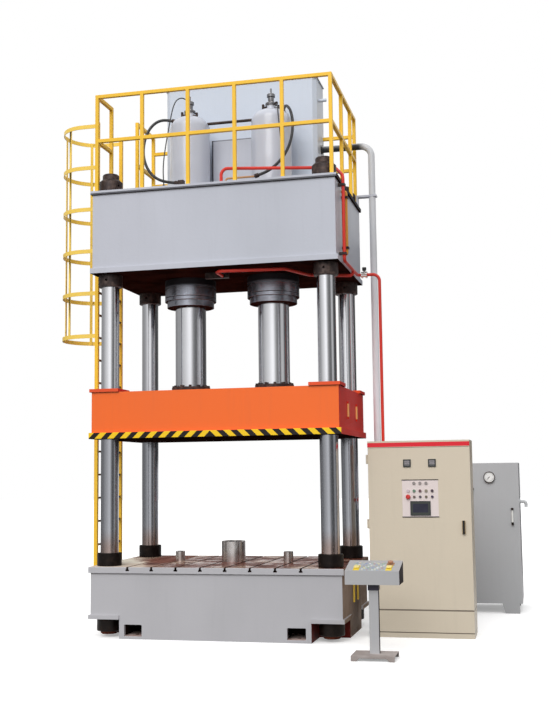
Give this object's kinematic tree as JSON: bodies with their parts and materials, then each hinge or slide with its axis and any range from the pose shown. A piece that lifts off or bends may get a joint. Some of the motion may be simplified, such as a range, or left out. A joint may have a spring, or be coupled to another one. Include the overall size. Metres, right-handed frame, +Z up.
{
  "type": "hydraulic press",
  "caption": "Four-column hydraulic press with twin rams, slotted table, ejectors, crown platform, caged ladder, overhead tank, cabinet, power unit and operator desk.",
  "frame": {"origin": "on the floor, at the middle of the bed's underside", "axes": "+X to the right of someone who faces the press, +Y to the back, +Z up"},
  "size_m": [5.0529, 4.364, 6.18],
  "materials": {
    "crown_paint": "satin",
    "bed_paint": "satin",
    "slide_paint": "satin",
    "table_steel": "oiled",
    "column_steel": "polished",
    "dark_steel": "satin",
    "rail_paint": "gloss",
    "red_pipe_paint": "gloss",
    "return_pipe_paint": "satin",
    "hose_rubber": "matte",
    "plain_steel": "satin",
    "cabinet_paint": "satin",
    "panel_plastic": "satin",
    "red_plastic": "gloss",
    "button_plastic": "gloss",
    "palm_plastic": "gloss",
    "unit_paint": "satin",
    "desk_paint": "satin"
  },
  "bodies": {
    "frame": {"bed_frame": "bed_paint", "table_plate": "table_steel", "columns": "column_steel", "column_nuts": "dark_steel", "crown_lock_nuts": "dark_steel", "crown": "crown_paint", "main_cylinders": "crown_paint", "cylinder_glands": "dark_steel", "cylinder_nuts": "crown_paint", "prefill_valves": "dark_steel", "overhead_tank": "crown_paint", "tank_lid": "crown_paint", "manifold_box": "crown_paint", "cross_pipe": "crown_paint", "front_railing": "rail_paint", "left_railing": "rail_paint", "right_railing": "rail_paint", "ladder": "rail_paint", "ladder_cage": "rail_paint", "return_pipe": "return_pipe_paint", "pipe_clamps": "dark_steel", "crown_pipe": "red_pipe_paint", "cylinder_pipe": "red_pipe_paint", "supply_pipe": "red_pipe_paint", "drain_pipe": "plain_steel", "shutoff_valve": "plain_steel", "left_fill_hose": "hose_rubber", "right_fill_hose": "hose_rubber", "left_pilot_hose": "hose_rubber", "right_pilot_hose": "hose_rubber", "hose_fittings": "dark_steel", "ejector_cylinders": "bed_paint", "cabinet_body": "cabinet_paint", "switchgear": "plain_steel", "power_unit": "unit_paint", "pump_motor": "dark_steel", "unit_fittings": "plain_steel", "desk_stand": "desk_paint", "desk_box": "desk_paint"},
    "slide": {"slide_beam": "slide_paint", "slide_plate": "slide_paint", "guide_bushes": "plain_steel", "rams": "column_steel", "ram_flanges": "dark_steel"},
    "centre_ejector": {"centre_ejector": "plain_steel"},
    "left_ejector": {"left_ejector": "plain_steel"},
    "right_ejector": {"right_ejector": "plain_steel"},
    "valve_knob": {"valve_knob": "dark_steel"},
    "door": {"cabinet_door": "cabinet_paint", "control_panel": "panel_plastic"},
    "door_handle": {"door_handle": "dark_steel"},
    "emergency_stop": {"emergency_stop": "red_plastic"},
    "panel_button_1": {"panel_button_1": "button_plastic"},
    "panel_button_2": {"panel_button_2": "button_plastic"},
    "panel_button_3": {"panel_button_3": "button_plastic"},
    "panel_button_4": {"panel_button_4": "button_plastic"},
    "gauge_needle": {"gauge_needle": "plain_steel"},
    "left_palm_button": {"left_palm_button": "palm_plastic"},
    "right_palm_button": {"right_palm_button": "palm_plastic"},
    "desk_stop": {"desk_stop": "red_plastic"}
  },
  "joints": [
    {"name": "slide_travel", "type": "slide", "parent": "frame", "child": "slide", "axis": [0, 0, 1], "range_m": [-0.9, 0.55]},
    {"name": "centre_ejector_travel", "type": "slide", "parent": "frame", "child": "centre_ejector", "axis": [0, 0, 1], "range_m": [-0.22, 0.1]},
    {"name": "left_ejector_travel", "type": "slide", "parent": "frame", "child": "left_ejector", "axis": [0, 0, 1], "range_m": [-0.11, 0.1]},
    {"name": "right_ejector_travel", "type": "slide", "parent": "frame", "child": "right_ejector", "axis": [0, 0, 1], "range_m": [-0.11, 0.1]},
    {"name": "valve_knob_turn", "type": "hinge", "parent": "frame", "child": "valve_knob", "pos_m": [1.446, 0.25, 3.88], "axis": [0, 0, 1], "range_deg": [0, 90]},
    {"name": "door_hinge", "type": "hinge", "parent": "frame", "child": "door", "pos_m": [1.505, -0.247, 1.1], "axis": [0, 0, 1], "range_deg": [-95, 0]},
    {"name": "door_handle_swing", "type": "hinge", "parent": "door", "child": "door_handle", "pos_m": [2.477, -0.26, 1.153], "axis": [0, 1, 0], "range_deg": [0, 90]},
    {"name": "emergency_stop_press", "type": "slide", "parent": "door", "child": "emergency_stop", "axis": [0, 1, 0], "range_m": [0, 0.005], "stiffness_N_per_m": 1500, "springref_m": -0.003},
    {"name": "panel_button_1_press", "type": "slide", "parent": "door", "child": "panel_button_1", "axis": [0, 1, 0], "range_m": [0, 0.004], "stiffness_N_per_m": 800, "springref_m": -0.003},
    {"name": "panel_button_2_press", "type": "slide", "parent": "door", "child": "panel_button_2", "axis": [0, 1, 0], "range_m": [0, 0.004], "stiffness_N_per_m": 800, "springref_m": -0.003},
    {"name": "panel_button_3_press", "type": "slide", "parent": "door", "child": "panel_button_3", "axis": [0, 1, 0], "range_m": [0, 0.004], "stiffness_N_per_m": 800, "springref_m": -0.003},
    {"name": "panel_button_4_press", "type": "slide", "parent": "door", "child": "panel_button_4", "axis": [0, 1, 0], "range_m": [0, 0.004], "stiffness_N_per_m": 800, "springref_m": -0.003},
    {"name": "gauge_needle_swing", "type": "hinge", "parent": "frame", "child": "gauge_needle", "pos_m": [2.66, 1.744, 1.59], "axis": [0, 1, 0], "range_deg": [0, 270], "stiffness_Nm_per_rad": 0.002, "springref_deg": -28.65},
    {"name": "left_palm_button_press", "type": "slide", "parent": "frame", "child": "left_palm_button", "axis": [0, 0.2272, -0.9738], "range_m": [0, 0.006], "stiffness_N_per_m": 1500, "springref_m": -0.004},
    {"name": "right_palm_button_press", "type": "slide", "parent": "frame", "child": "right_palm_button", "axis": [0, 0.2272, -0.9738], "range_m": [0, 0.006], "stiffness_N_per_m": 1500, "springref_m": -0.004},
    {"name": "desk_stop_press", "type": "slide", "parent": "frame", "child": "desk_stop", "axis": [0, 0.2272, -0.9738], "range_m": [0, 0.006], "stiffness_N_per_m": 1500, "springref_m": -0.004}
  ],
  "couplings": [
    {"joint": "right_ejector_travel", "follows": "left_ejector_travel", "ratio": 1}
  ]
}
